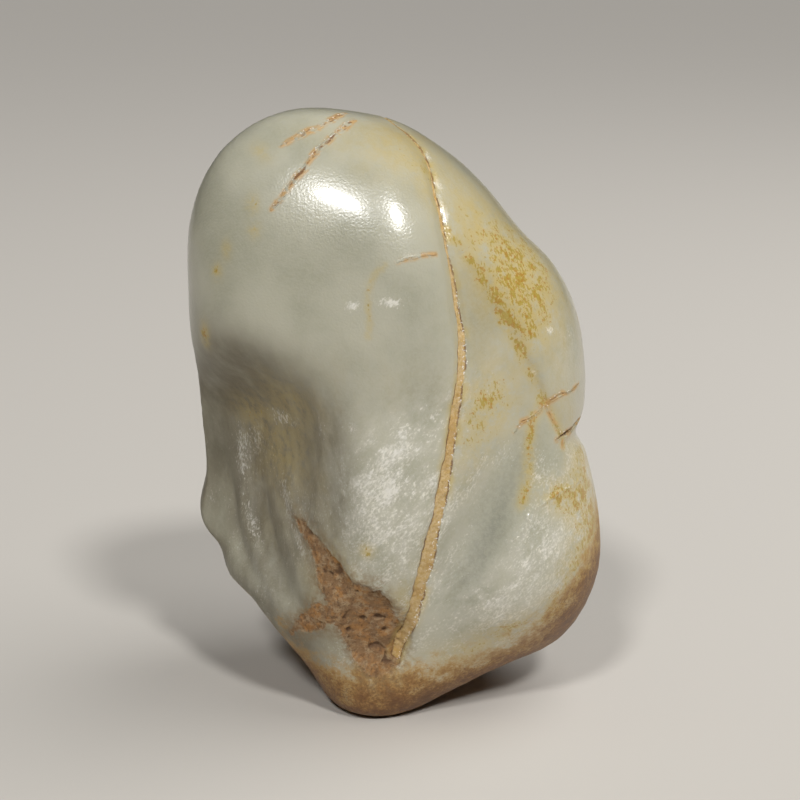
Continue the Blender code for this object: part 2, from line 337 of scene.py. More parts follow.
# %% Draw the cracks
CRACKS = {  # the stops, the width and the depth
    "crown crack": (
        ((-39, 205.5), (-36, 207.3), (-33, 208.9), (-26, 211.5), (-22, 213.4), (-18, 214.5)), 2.2, 0.25,
    ),
    "second crown crack": (
        ((-42, 186), (-39, 189), (-34, 196), (-31.6, 198.4), (-27, 204.2), (-23, 207.5), (-17.9, 211),
         (-14.6, 213)), 1.5, 0.12,
    ),
    "crack to the edge": (((50.5, 118.8), (55.7, 121.2), (59.5, 121.2), (63, 122.5)), 0.8, 0.4),
    "crack to the left": (((50.5, 118.8), (48, 116), (45.2, 114.3), (41.7, 112.6), (40, 110)), 0.9, 0.4),
    "lower crack": (((50.5, 118.8), (53, 113.3), (55.3, 108.8), (56.9, 104.8), (57.3, 101.8)), 0.5, 0.2),
    "notch": (((54.5, 105.2), (57, 106.2), (60, 107.0), (62.5, 108.2), (64.5, 108.6)), 2.0, 2.0),
    "dome hairline": (((0, 170.3), (2.4, 171.2), (5.7, 171.7), (10, 172), (13, 172)), 0.5, 0.15),
    "back crack": (((22, 196), (28, 188), (31, 176), (38, 168)), 1.0, 0.4),
}
ON_THE_BACK = ("back crack",)


def drawn_crack(name):
    stops = CRACKS[name][0]
    return drawn(back=stops) if name in ON_THE_BACK else drawn(stops)


crack_lines = {name: drawn_crack(name) for name in CRACKS}
print(len(CRACKS), "cracks")

# %% [markdown]
# The folds in the hollow look like those of heavy cloth: the felted fibres of the stone split along them,
# and water rounded them. Crests and valleys are drawn apart, because no two of them run quite side by
# side.

# %% Draw the folds
FOLDS = {  # the stops, the height (a valley is negative) and the half width
    "outer crest": (((-58.6, 108), (-57, 100), (-56.3, 83), (-55.7, 67), (-46.4, 51), (-38, 39)), 0.8, 3.0),
    "valley": (((-50.3, 90), (-48, 77), (-45, 64), (-39, 49.6), (-32.8, 36.4)), -1.1, 3.0),
    "inner crest": (((-39.7, 98), (-38, 87), (-35.4, 76.7), (-27.8, 63.4), (-20.8, 47.2)), 0.7, 2.6),
    "small crest": (((-45, 92), (-43.5, 80), (-40, 68), (-34, 54), (-28, 42)), 0.4, 1.4),
    "outer valley": (((-62.9, 98), (-61.7, 80), (-58, 60), (-48, 46)), -0.7, 2.6),
}

fold_lines = {name: drawn(stops) for name, (stops, height, half) in FOLDS.items()}
print(len(FOLDS), "folds")

# %% [markdown]
# Other lines guide edges, beads and stains: the crease between the dome and the right shoulder, the
# hollow's sharp right side, a beaded ridge, two yellow traces, and the two tongues in which clay leaves
# the pocket.

# %% Draw the other lines
CREASE = drawn((
    (57.5, 103), (54.7, 110.7), (50.7, 118.8), (46.5, 127.6), (43, 135.3), (38, 145), (32.8, 156), (26, 166),
    (19.4, 175.2), (15.5, 181),
))
YELLOW_CRACK = drawn(((49, 119.5), (45.8, 112), (45.3, 106.8), (45, 100), (44.3, 93.5), (42.5, 85.3)))
HOLLOW_EDGE = drawn(((-28.8, 131), (-26.2, 124), (-24.4, 111.5), (-24.9, 93.4), (-27.6, 80)))
BRIGHT_RIDGE = drawn((
    (63.8, 89.2), (59.8, 88.7), (56, 87.7), (52.4, 86), (49, 84.7), (45.3, 82), (43.6, 77.5), (40.2, 73.6),
))
YELLOW_TRACE = drawn(((-4.2, 169.3), (-7.8, 165.8), (-9.5, 161), (-9.8, 156), (-9.2, 151), (-9.8, 145.3)))
TONGUE = drawn(((-35.4, 75.6), (-32, 72.9), (-28, 68), (-24.6, 62), (-21, 55), (-17.5, 47), (-14, 38)))
SIDE_TONGUE = drawn(((-38.4, 33.5), (-32.7, 38.4), (-27.2, 43.5), (-20, 46)))
print("the crease is", round(len(CREASE["points"]) * LINE_STEP), "mm long")

# %% [markdown]
# ## Spots
#
# Stains and clouds are spots: leaning ovals on the face. A spot is 1 in its middle and fades to 0, like
# ink that has soaked into paper. Where two overlap, each stains what the other has left clean.

# %% Measure spots
def leaning(x, z, half_width, half_height, lean):
    """How far along a leaning oval's two axes a place is, in half widths and half heights."""
    c, s = math.cos(math.radians(lean)), math.sin(math.radians(lean))
    return (x * c - z * s) / half_width, (x * s + z * c) / half_height


def spot(places, centre, half_width, half_height, lean=0.0, side=-1, deep=1.2):
    """How deep inside a leaning oval each place is. It reaches `deep` times its width into the stone."""
    x, y, z = (places - on_face(*centre, side)).T
    u, w = leaning(x, z, half_width, half_height, lean)
    depth = y / (deep * max(half_width, half_height))
    return np.exp(-(u**2 + w**2 + depth**2))


def joined(*fields):
    """Fields that overlap without a crease, as stains do. The result stays under 1."""
    left_over = 1.0
    for field in fields:
        left_over = left_over * (1 - field)
    return 1 - left_over


def spots(places, listed, deep=1.2):
    """Several spots together, each as x, z, half width, half height, lean, strength, and 1 for the back."""
    total = np.zeros(len(places))
    for x, z, half_width, half_height, lean, strength, *back in listed:
        side = back[0] if back else -1
        total = joined(total, strength * spot(places, (x, z), half_width, half_height, lean, side, deep))
    return total


# %% [markdown]
# The clay lies in an oval pocket low on the broad face, and runs out of it in two tongues, as mud does in
# a split. Distances to their rims are negative inside, so that one number says both how near and on which
# side.

# %% Measure the clay
POCKET = ((-9.5, 39.0), 10.6, 19.5, -14)  # centre, half width, half height, lean
TONGUES = (  # the line, the distances from its tip and the half widths there
    (TONGUE, (0, 8, 20, 30, 45), (0.8, 2.5, 5.5, 7.0, 7.0)),
    (SIDE_TONGUE, (0, 8, 15), (0.8, 2.0, 4.5)),
)


def pocket_distance(places):
    """The signed distance to the clay pocket's rim."""
    (x0, z0), half_width, half_height, lean = POCKET
    x, y, z = places.T
    u, w = leaning(x - x0, z - z0, half_width, half_height, lean)
    return np.where(y < 0, (np.hypot(u, w) - 1) * half_width, NOWHERE)


def tongue_distance(places):
    """The signed distance to the nearest tongue's rim."""
    nearest = np.full(len(places), NOWHERE)
    for line, stops, half_widths in TONGUES:
        along, aside = measured(places, line)
        nearest = np.minimum(nearest, np.abs(aside) - np.interp(along, stops, half_widths))
    return nearest


# %% [markdown]
# ## More triangles where the detail is
#
# A crack half a millimetre wide needs edges about as short, and the smooth dome doesn't. So the wanted
# length of an edge follows from its distance to the nearest line or rim. Smoothing after each round takes
# out the creases that halving leaves.

# %% Divide the skin
FINEST, FINE, COARSE = 0.62, 1.1, 2.3  # edge lengths
EVERY_AXIS = {"use_axis_x": True, "use_axis_y": True, "use_axis_z": True}


def wanted_edge(places):
    wanted = np.full(len(places), COARSE)
    nearest = np.abs(measured(places, SEAM)[1])
    for line in (*crack_lines.values(), BRIGHT_RIDGE):
        nearest = np.minimum(nearest, np.abs(measured(places, line)[1]))
    clay = np.minimum(pocket_distance(places), tongue_distance(places))
    wanted[(clay < 3) | (nearest < 5)] = FINE
    wanted[(nearest < 2.6) | (np.abs(clay) < 1.5)] = FINEST
    return wanted


for _ in range(3):
    print("edges halved:", divide(form, wanted_edge))
    bmesh.ops.smooth_vert(form, verts=form.verts, factor=0.5, **EVERY_AXIS)
form.normal_update()
places = np.array([v.co for v in form.verts]) / MM
normals = np.array([v.normal for v in form.verts])
print(len(form.faces), "triangles,", len(places), "points")

# %% [markdown]
# ## Soft noise
#
# Nothing on a stone is even. Random heights on a lattice, blended smoothly, give bumps of any size. The
# lattice is seeded, so the stone is the same each time.

# %% Make noise
LATTICE = 32


def noise(places, size, seed=0):
    """Smooth random values between -1 and 1, with bumps about `size` across."""
    heights = np.random.default_rng(seed).uniform(-1, 1, (LATTICE, LATTICE, LATTICE))
    at = places / size + 100
    cell = np.floor(at).astype(int)
    t = at - cell
    t = t * t * (3 - 2 * t)
    total = np.zeros(len(places))
    for corner in np.ndindex(2, 2, 2):
        weight = np.where(corner, t, 1 - t).prod(axis=1)
        total += weight * heights[tuple(((cell + corner) % LATTICE).T)]
    return total


def ramp(values, start, end):
    """0 at the start, 1 at the end, smooth between."""
    t = np.clip((values - start) / (end - start), 0, 1)
    return t * t * (3 - 2 * t)


# %% [markdown]
# ## Clouds and snow
#
# Nephrite has milky clouds where its fibres lie loosely. The lower half of the broad face is cloudy, and
# its dome is nearly clear. Each spot is a centre, a half width, a half height, the degrees that its top
# leans towards +X, a strength, and 1 when it is on the back.

# %% Mark the clouds
CLOUDS = (
    (-6, 98, 20, 30, 35, 0.8), (8, 92, 9, 22, 45, 0.7), (2, 112, 7, 20, 50, 0.55),
    (24, 123, 10, 18, 45, 0.75), (-8, 72, 18, 16, 0, 0.65), (50, 68, 12, 24, 45, 0.85),
    (34, 48, 26, 15, 25, 0.75), (20, 62, 8, 22, 50, 0.55), (20, 88, 6, 22, 45, 0.5),
    (-53, 80, 7, 26, -6, 0.55), (-33, 74, 8, 26, -20, 0.6), (-44, 52, 14, 16, -30, 0.5),
    (56, 138, 7, 16, -10, 0.5), (8, 24, 20, 10, 0, 0.5), (-26, 112, 9, 10, 0, 0.45),
    (60, 96, 6, 12, 0, 0.45), (-30, 150, 26, 30, 20, 0.5, 1), (30, 90, 26, 34, -20, 0.7, 1),
    (-10, 60, 30, 26, 0, 0.6, 1),
)
cloud = spots(places, CLOUDS)
print("cloudy points:", int((cloud > 0.4).sum()))

# %% [markdown]
# Snowy flecks crowd inside the clouds, and along edges that were bruised. Three spots just right of the seam
# near the crown are painted glints: white specks that stand for sparkles of light. Frost, which is finer,
# lies over the whole lower half, and thins out where the dome begins.

# %% Mark the snow, the glints and the frost
FROST = {"strength": 0.75, "starts": 124, "full": 96}  # heights, from the dome down
SNOW_AND_GLINTS = (
    (-15.1, 155.8, 3.4, 2.4, 0, 1.0), (-2.5, 157, 6.5, 2.6, 5, 0.9), (-2.6, 93.5, 5, 6.5, 30, 1.0),
    (4, 104, 3, 9, 50, 0.7), (-8, 86, 4, 8, 40, 0.7), (15.3, 90.8, 3.0, 2.5, 0, 0.8),
    (46, 130, 1.6, 2.4, 0, 1.0), (52, 143.5, 2.6, 2.0, 0, 1.0), (48, 94, 2.2, 2.6, 0, 0.9),
    (47.4, 99, 1.6, 2.6, 0, 0.8), (30, 102.4, 1.6, 1.6, 0, 1.0), (-15.4, 114, 3.0, 3.0, 0, 0.7),
    (12, 118, 3, 5, 50, 0.7), (2.1, 68.4, 2.4, 3.2, 0, 0.9), (40, 56.5, 2.2, 8, 50, 0.9),
    (54, 72, 5, 12, 45, 0.7), (-50, 152.5, 7, 2.6, 5, 0.35), (-38, 155, 4, 2, 0, 0.3),
    (-56, 92, 4, 15, -4, 0.76), (-39, 82, 3.5, 14, -12, 0.76), (-36, 128, 4, 3, 0, 0.35),
    (60, 140, 3, 6, -10, 0.6), (16, 106, 3, 9, 30, 0.55), (-3, 112, 3, 10, 55, 0.45),
    # The last spot on this line and the first two on the next, right of the seam, are painted glints.
    (20, 44, 6, 5, 0, 0.5), (27, 132, 2.5, 8, 45, 0.45), (16, 184, 1.6, 5, -12, 1.0),
    (13.4, 193, 1.6, 5, -18, 1.0), (10.4, 201, 1.4, 4, -25, 0.8), (4, 172.5, 5, 1.6, 0, 0.6),
    (-40, 111, 11, 5, 0, 0.78), (-50, 100, 4.5, 10, 0, 0.66), (14, 32, 8, 10, 20, 0.5),
    (-62, 70, 4, 14, -8, 0.4), (-52, 66, 4, 14, -22, 0.68), (-34, 66, 3, 9, -30, 0.65),
    (20, 110, 8, 14, -20, 0.6, 1), (-24, 84, 10, 12, 20, 0.5, 1), (44, 66, 10, 10, 0, 0.6, 1),
)
snow_and_glints = spots(places, SNOW_AND_GLINTS)
frost = FROST["strength"] * ramp(places[:, 2], FROST["starts"], FROST["full"])
print("snowy points:", int((snow_and_glints > 0.4).sum()))

# %% [markdown]
# ## Stains
#
# Iron water soaked in from outside. It left a yellow haze with specks beside the crease, on the shoulders
# and along three thin lines, and it turned other parts of the jade olive.

# %% Mark the yellow and olive stains
YELLOW_LINES = ((CREASE, 2.0, 0.8), (YELLOW_CRACK, 2.2, 0.8), (YELLOW_TRACE, 1.0, 0.6))
YELLOWS = (
    (36, 166, 9, 18, -32, 0.8), (41, 150, 8, 16, -30, 0.95), (47, 158, 8, 14, -30, 0.6),
    (31, 121, 11, 12, 30, 0.72), (44, 170, 12, 26, -35, 0.5), (64, 84, 7, 12, 0, 1.0),
    (56, 86, 9, 5, 30, 0.9), (69, 70, 6, 16, 0, 1.0), (62, 58, 8, 12, 20, 0.7), (66, 96, 5, 12, 0, 0.7),
    (24, 28, 18, 6, -10, 0.45), (56, 44, 7, 8, 0, 0.7), (-40, 100, 12, 18, 0, 0.45),
    (-20, 60, 6, 14, -20, 0.5), (26, 110, 8, 18, 20, 0.45), (1, 203, 14, 8, 0, 0.4),
    (-46, 203.5, 5, 2.6, 30, 0.5), (24, 182, 8, 10, -30, 0.3), (40, 38, 14, 6, -20, 0.75),
    (-10.4, 71.4, 2.4, 2.4, 0, 1.0), (-48.5, 187, 2.2, 3.0, 0, 0.8), (-48, 179, 2.2, 2.6, 0, 0.7),
    (-61, 164.3, 1.8, 2.8, 0, 0.9), (-57.5, 172, 1.8, 3.2, 0, 0.6), (-66, 141, 1.8, 5, 0, 1.0),
    (-52, 109, 10, 8, 0, 0.5), (-38, 120, 14, 8, 20, 0.35), (10, 196, 5, 12, -20, 0.5),
    (20, 150, 18, 26, -20, 0.6, 1), (-40, 120, 14, 24, 10, 0.5, 1), (0, 190, 22, 12, 0, 0.45, 1),
)
OLIVES = (
    (-44, 108, 16, 16, 0, 0.8), (-46, 84, 14, 22, -10, 0.55), (-36, 122, 18, 8, 25, 0.55),
    (8, 200, 16, 14, 0, 0.45), (30, 140, 8, 22, -25, 0.45), (44, 160, 12, 20, -30, 0.4),
    (-26, 92, 6, 16, -10, 0.5), (-28, 56, 6, 14, -20, 0.7), (0, 52, 5, 16, 15, 0.8),
    (20, 24, 24, 10, 10, 0.5), (-26, 36, 12, 12, 0, 0.4), (62, 100, 8, 14, 0, 0.3),
    (-10, 130, 30, 12, 0, 0.2), (0, 100, 40, 40, 0, 0.35, 1), (26, 180, 10, 26, -35, 0.9),
    (44, 150, 14, 30, -30, 0.8), (2, 207, 26, 7, 0, 0.9), (60, 118, 8, 20, 0, 0.5),
)
yellow = spots(places, YELLOWS)
for line, half_width, strength in YELLOW_LINES:
    along, aside = measured(places, line)
    yellow = joined(yellow, strength * np.exp(-((aside / half_width) ** 2)))
olive = spots(places, OLIVES)
print("yellow points:", int((yellow > 0.4).sum()))

# %% [markdown]
# The stone lay in wet gravel, and a russet rind grew on its lower right edge. The same russet is painted
# over the underside and the toe, where it is partly rind and partly painted shade with a warm cast: it
# darkens what faces down and the foot. Water climbs unevenly, so the heights at which the rind fades out
# wander.

# %% Mark the russet rind and the painted shade under the stone
RUSSETS = (
    (74, 66, 6, 16, 0, 0.6), (71, 46, 8, 14, 15, 0.5), (66, 142, 2.4, 9, -10, 0.8),
    (-42, 38, 4, 4, 40, 0.6), (-30, 14, 5, 10, -40, 0.4), (40, 60, 26, 30, 30, 0.85, 1),
    (-20, 30, 30, 18, 0, 0.8, 1), (-50, 150, 12, 26, 0, 0.4, 1),
)


def facing(direction, start, end):
    """1 where the skin faces a direction and 0 where it doesn't: their cosine goes from start to end."""
    return ramp(normals @ (np.array(direction) / np.linalg.norm(direction)), start, end)


height = places[:, 2] + 7 * noise(places, 17.0, 19) + 3 * noise(places, 6.0, 20)
lower_right = facing((1, 0, -0.8), 0.5, 0.85) * ramp(height, 100, 70)
# partly rind, partly painted shade: the skin that faces down
underside_rind_and_shade = 0.7 * facing((0, 0, -1), 0.3, 0.9) * ramp(height, 80, 45)
# partly rind, partly painted shade: the toe darkens towards the floor
toe_rind_and_shade = ramp(height, 38, 2)
russet_and_shade = joined(spots(places, RUSSETS), lower_right, underside_rind_and_shade, toe_rind_and_shade)
print("russet points:", int((russet_and_shade > 0.4).sum()))

# %% [markdown]
# The hollow and the stone's left side were never polished. An olive-brown coat darkens them: it is partly a
# darker skin and mostly painted shade, for the shade that falls in the hollow under the dome and on the side
# that faces left. In a few long bands, such as the trough right of the seam, the jade is clear: there the
# clouds and the frost give way, and the bands are painted darker, partly as glassy jade and partly as
# painted shade in the hollow and the trough. Every stain and cloud marks rougher skin, and only the clear
# dome is smooth.

# %% Mark the hollow, its painted shade and the clear jade
HOLLOWS = (
    (-52, 116, 20, 17, 10, 1.0), (-56, 134, 16, 12, 15, 0.8), (-46, 94, 15, 24, -12, 0.85),
    (-50, 62, 13, 22, -25, 0.65), (-68, 96, 9, 40, 0, 0.75), (-32, 32, 12, 14, -30, 0.75),
    (-30, 118, 12, 12, 0, 0.45),
)
# The clear bands are painted darker. Those in the hollow, on the left side and in the trough also stand in
# for shade.
CLEAR = (
    (31, 74, 6, 26, 24, 1.0), (26, 136, 6, 20, -8, 0.5), (-34, 104, 7, 14, -5, 0.6),
    (-46, 62, 4, 18, -28, 0.6), (-64, 88, 4, 24, 0, 0.4), (10, 128, 7, 14, 0, 0.35),
    (-30, 46, 4, 12, -35, 0.6),
)
# The hollow spots and the skin that faces left below the dome mark where painted shade goes. The same field
# makes that skin rough and turns its fibres upright.
hollow_spots = spots(places, HOLLOWS, deep=4.0)
# painted shade on the skin that faces left and a little down, below the dome
shaded_left_side = facing((-1, 0, -0.2), 0.3, 0.8) * ramp(places[:, 2], 135, 112)
hollow = joined(hollow_spots, 0.75 * shaded_left_side) * ramp(places[:, 1], 32, 4)
clear_and_shade = spots(places, CLEAR, deep=4.0)
# The glassy bands and the shaded hollow get less frost, so they stay darker.
frost *= (1 - clear_and_shade) * (1 - 0.35 * hollow)
cloud *= 1 - 0.7 * clear_and_shade
rough = joined(0.1, 0.9 * cloud, 0.6 * frost, 0.8 * russet_and_shade, 0.7 * hollow)
print("points in the hollow:", int((hollow > 0.4).sum()))

# %% [markdown]
# ## Carving
#
# Each feature moves the points along their normals: down is into the stone. The seam is a shallow channel
# with a gritty floor, and its clay has shrunk away from the walls in places.

# %% Carve the seam
SEAM_DEPTH, SEAM_GRIT = 0.35, 0.16
GAP_DEPTH, GAP_HALF = 0.5, 0.45

lift = np.zeros(len(places))
along, seam_aside = measured(places, SEAM)
seam_wide = np.interp(along, *zip(*SEAM_WIDTH))
seam_wide *= 1 + 0.16 * noise(places, 2.2, 1) + 0.14 * noise(places, 6.0, 2)
seam_edge = np.abs(seam_aside) - seam_wide / 2
lift -= ramp(-seam_edge, -0.35, 0.5) * (SEAM_DEPTH + SEAM_GRIT * noise(places, 1.6, 3))
shrunk = ramp(noise(places, 7.0, 4) - 0.25 * np.sign(seam_aside), -0.1, 0.5)
lift -= GAP_DEPTH * np.exp(-((seam_edge / GAP_HALF) ** 2)) * shrunk
print("points in the seam:", int((seam_edge < 0).sum()))

# %% [markdown]
# The cracks are thin wedges that open and close along their way, and the notch is the widest of them,
# where the edge has split open.

# %% Carve the cracks
crack_edge = np.full(len(places), NOWHERE)
crack_side = np.full(len(places), NOWHERE)
for name, (stops, width, depth) in CRACKS.items():
    line = crack_lines[name]
    along, aside = measured(places, line)
    to_end = np.minimum(along, len(line["points"]) * LINE_STEP - along)
    open_part = np.sqrt(np.clip(to_end / 6, 0, 1)) * (0.35 + 0.65 * ramp(noise(places, 4.0, 15), -0.5, 0.3))
    aside = aside + 0.35 * noise(places, 3.0, 5)
    edge = np.abs(aside) - width / 2 * open_part
    crack_side = np.where(edge < crack_edge, aside, crack_side)
    crack_edge = np.minimum(crack_edge, edge)
    lift -= depth * ramp(-edge, -0.35, width / 2)
print("points in cracks:", int((crack_edge < 0).sum()))

# %% [markdown]
# The folds run down through the hollow and die away at both ends. Their heights and their lines waver, as
# in anything that water has cut.

# %% Raise the folds
for name, (stops, height, half) in FOLDS.items():
    line = fold_lines[name]
    along, aside = measured(places, line)
    ends = ramp(along, 0, 14) * ramp(len(line["points"]) * LINE_STEP - along, 0, 14)
    aside = aside + 1.4 * noise(places, 9.0, 16)
    lift += height * (1 + 0.5 * noise(places, 12.0, 17)) * ends * np.exp(-((aside / half) ** 2))
print("carved so far: from", round(float(lift.min()), 2), "to", round(float(lift.max()), 2), "mm")

# %% [markdown]
# The hollow ends at a sharper edge on its right. A line of small beads, where a harder thread stands out
# of the skin, crosses the swell at the lower right.

# %% Raise the edge and the beads
EDGE_HEIGHT, EDGE_HALF, EDGE_ASIDE = 0.7, 3.0, 1.5
BEAD_HALF = 0.8

along, aside = measured(places, HOLLOW_EDGE)
lift += EDGE_HEIGHT * np.exp(-(((aside - EDGE_ASIDE) / EDGE_HALF) ** 2)) * ramp(along, 0, 10)
ridge = np.exp(-((measured(places, BRIGHT_RIDGE)[1] / BEAD_HALF) ** 2))
lift += ridge * (0.15 + 0.35 * ramp(noise(places, 1.4, 18), -0.2, 0.6))
print("points on the beads:", int((ridge > 0.4).sum()))

# %% [markdown]
# The pocket is a scoop where softer rock has weathered out. Its floor is gritty and pitted, and its upper
# right rim is a small cliff.

# %% Sink the clay pocket
CLAY_DEPTH, PIT_DEPTH = 0.5, 0.8
FAR_FROM_CLAY = 20.0

clay_edge = np.minimum(pocket_distance(places), tongue_distance(places))
clay_edge = clay_edge + 1.3 * noise(places, 5.0, 6) + 0.7 * noise(places, 2.0, 7)
clay_edge = np.where(clay_edge > FAR_FROM_CLAY, NOWHERE, clay_edge)
pits = ramp(noise(places, 2.4, 8) + 0.5 * noise(places, 1.3, 9), 0.45, 0.8) * ramp(-clay_edge, 0.3, 2.0)
clay_depth = CLAY_DEPTH + 0.4 * noise(places, 3.5, 10) + 0.2 * noise(places, 1.3, 11)
lift -= ramp(-clay_edge, -0.4, 0.6) * clay_depth + PIT_DEPTH * pits
print("points in the clay:", int((clay_edge < 0).sum()))

# %% [markdown]
# Last comes the skin itself: long swells everywhere, one more on the dome, and small lumps where it is
# rough. The foot stays flat, so the stone still stands, and nothing may leave the solid's box.

# %% Weather the skin
SWELLS, DOME_SWELL = 0.12, 0.5
LUMPS, SMALL_LUMPS = 0.18, 0.08
FLAT_TO, CARVED_FROM = 0.2, 4.0  # heights above the floor

lift += SWELLS * noise(places, 11.0, 12) + DOME_SWELL * spot(places, (-18, 190), 20, 20)
lift += rough * (LUMPS * noise(places, 5.0, 13) + SMALL_LUMPS * noise(places, 2.4, 14))
carved = lift * ramp(places[:, 2], FLAT_TO, CARVED_FROM)
finished = np.clip(places + normals * carved[:, None], low, high)
print("carved from", round(float(lift.min()), 2), "to", round(float(lift.max()), 2), "mm")

# %% [markdown]
# The carved points go into a mesh of their own, which rides on the stone's body and stands in for the
# plain solid.

# %% Make the finished stone
jade = bpy.data.objects.new("jade_boulder_skin", bpy.data.meshes.new("jade_boulder_skin"))
form.to_mesh(jade.data)
form.free()
jade.data.vertices.foreach_set("co", (finished * MM).ravel())
jade.data.update()
jade.data.shade_smooth()
bpy.context.scene.collection.objects.link(jade)
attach(jade, "root")
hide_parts("jade_boulder")
print(len(jade.data.polygons), "triangles")

# %% [markdown]
# ## Fields for the material
#
# The material needs to know where the seam, the clay and the stains are. Those distances and strengths
# were measured above, so they are stored on the mesh's points, and the shader reads them by name.

# %% Store the fields
FIELDS = {
    "seam_edge": seam_edge, "seam_aside": seam_aside, "crack_edge": crack_edge, "crack_side": crack_side,
    "clay_edge": clay_edge, "pits": pits, "ridge": ridge,
    "cloud": cloud, "snow_and_glints": snow_and_glints, "frost": frost, "clear_and_shade": clear_and_shade, "hollow": hollow,
    "yellow": yellow, "russet_and_shade": russet_and_shade, "olive": olive,
}
for name, values in FIELDS.items():
    field = jade.data.attributes.new(name, "FLOAT", "POINT")
    field.data.foreach_set("value", values.astype(np.float32))
print(len(FIELDS), "fields")

# %% [markdown]
# ## A short way to write shaders
#
# A shader is a tree of nodes. These helpers add one node each and give back its result, so that a recipe
# reads from top to bottom. The first few add any node, and sums.

# %% Add nodes and sums
class Nodes:
    """Adds nodes to a tree. Each method gives back the new node or its result."""

    def __init__(self, tree):
        self.tree = tree

    def feed(self, socket, value):
        if isinstance(value, bpy.types.NodeSocket):
            self.tree.links.new(value, socket)
        else:
            socket.default_value = value

    def fill(self, sockets, values):
        for socket, value in zip(sockets, values):
            self.feed(socket, value)

    def node(self, kind, **inputs):
        node = self.tree.nodes.new(kind)
        for name, value in inputs.items():
            self.feed(node.inputs[name.replace("_", " ")], value)
        return node

    def math(self, operation, *values):
        node = self.tree.nodes.new("ShaderNodeMath")
        node.operation = operation
        self.fill(node.inputs, values)
        return node.outputs[0]

    def plus(self, *values):
        return reduce(lambda total, value: self.math("ADD", total, value), values)

    def times(self, *values):
        return reduce(lambda product, value: self.math("MULTIPLY", product, value), values)

    def without(self, value):
        """What is left of 1 when the value is taken away."""
        return self.math("SUBTRACT", 1.0, value)


# %% [markdown]
# The rest are a painter's tools: a soft step, a coat of one colour over another, noise, a field from the
# mesh, and a grain that is drawn out along one direction like the fibres of the stone.

# %% Add steps, coats, noise and fields
class Recipe(Nodes):
    def ramp(self, value, start, end, low=0.0, high=1.0):
        node = self.tree.nodes.new("ShaderNodeMapRange")
        node.interpolation_type = "SMOOTHSTEP"
        self.fill(node.inputs, (value, start, end, low, high))
        return node.outputs[0]

    def mix(self, amount, below, above):
        node = self.tree.nodes.new("ShaderNodeMix")
        node.data_type = "RGBA"
        self.fill((node.inputs[0], node.inputs[6], node.inputs[7]), (amount, below, above))
        return node.outputs[2]

    def coat(self, below, above, *amounts):
        """One colour over another, as thick as all the amounts allow."""
        return self.mix(self.times(*amounts), below, above)

    def noise(self, vector, size, detail=2.0, roughness=0.5):
        """Noise between 0 and 1 with bumps of this size."""
        node = self.node("ShaderNodeTexNoise", Vector=vector, Detail=detail, Roughness=roughness)
        scale = 1 / size if isinstance(size, float) else self.math("DIVIDE", 1.0, size)
        self.feed(node.inputs["Scale"], scale)
        return node.outputs["Fac"]

    def field(self, name):
        node = self.tree.nodes.new("ShaderNodeAttribute")
        node.attribute_name = name
        return node.outputs["Fac"]

    def streaked(self, vector, rise, stretch):
        """The same places, drawn out along a direction on the face that rises by so many degrees."""
        node = self.node("ShaderNodeMapping", Vector=vector)
        node.vector_type = "TEXTURE"
        node.inputs["Rotation"].default_value = (0, math.radians(-rise), 0)
        node.inputs["Scale"].default_value = (stretch, 1, 1)
        return node.outputs[0]


# %% [markdown]
# ## Mottling
#
# Clouds, stains and flecks all spread in the same way: the denser they are, the more of the surface they
# cover, with ragged edges. One node group does it, so the rule is written once. It compares noise with a
# limit that sinks as the wanted density rises.

# %% Build the mottling group
FLOAT = "NodeSocketFloat"
MOTTLE_INPUTS = (("Density", 0.5), ("Size", 5.0), ("Softness", 0.1))
EMPTY_LIMIT = 0.78  # the noise hardly ever gets past this

mottling = bpy.data.node_groups.new("mottling", "ShaderNodeTree")
mottling.interface.new_socket("Places", in_out="INPUT", socket_type="NodeSocketVector")
for label, value in MOTTLE_INPUTS:
    mottling.interface.new_socket(label, in_out="INPUT", socket_type=FLOAT).default_value = value
mottling.interface.new_socket("Mask", in_out="OUTPUT", socket_type=FLOAT)

recipe = Recipe(mottling)
given = recipe.node("NodeGroupInput").outputs
grain = recipe.noise(given["Places"], given["Size"], 4.0, 0.6)
limit = recipe.math("SUBTRACT", EMPTY_LIMIT, recipe.times(given["Density"], 0.5))
mask = recipe.ramp(grain, limit, recipe.plus(limit, given["Softness"]))
recipe.node("NodeGroupOutput", Mask=mask)
print(len(mottling.nodes), "nodes in the group")

# %% [markdown]
# This helper uses the group in a recipe. It gives back the mask, which is 1 on the flecks.

# %% Use the mottling group
def mottle(recipe, places, density, size, softness=0.1):
    node = recipe.node("ShaderNodeGroup")
    node.node_tree = mottling
    recipe.fill(node.inputs, (places, density, size, softness))
    return node.outputs["Mask"]


# %% [markdown]
# ## Jade
#
# Nephrite is a felt of fine fibres: grey-green, waxy and slightly see-through, so light softens inside
# it. The fibres slant across the broad face and stand upright in the hollow, so places are measured along
# both.

# %% Start the jade
material = bpy.data.materials.new("jade")
material.use_nodes = True
recipe = Recipe(material.node_tree)
shader = material.node_tree.nodes["Principled BSDF"]
metres = recipe.node("ShaderNodeTexCoord").outputs["Object"]
to_millimetres = recipe.node("ShaderNodeVectorMath")
to_millimetres.operation = "SCALE"
recipe.feed(to_millimetres.inputs[0], metres)
to_millimetres.inputs["Scale"].default_value = 1 / MM
at = to_millimetres.outputs[0]
slanted = recipe.streaked(at, 50, 1.9)
upright = recipe.streaked(at, 100, 2.2)
print("fibres at 50 degrees, and at 100 in the hollow")

# %% [markdown]
# Its tint wanders slowly between clear and milky. The clear bands are painted darker: partly because light
# goes deep into clear jade, and partly as painted shade, since several of them lie in the hollow, on the
# left side and in the trough. A faint close mottle keeps the stone from looking like paint.

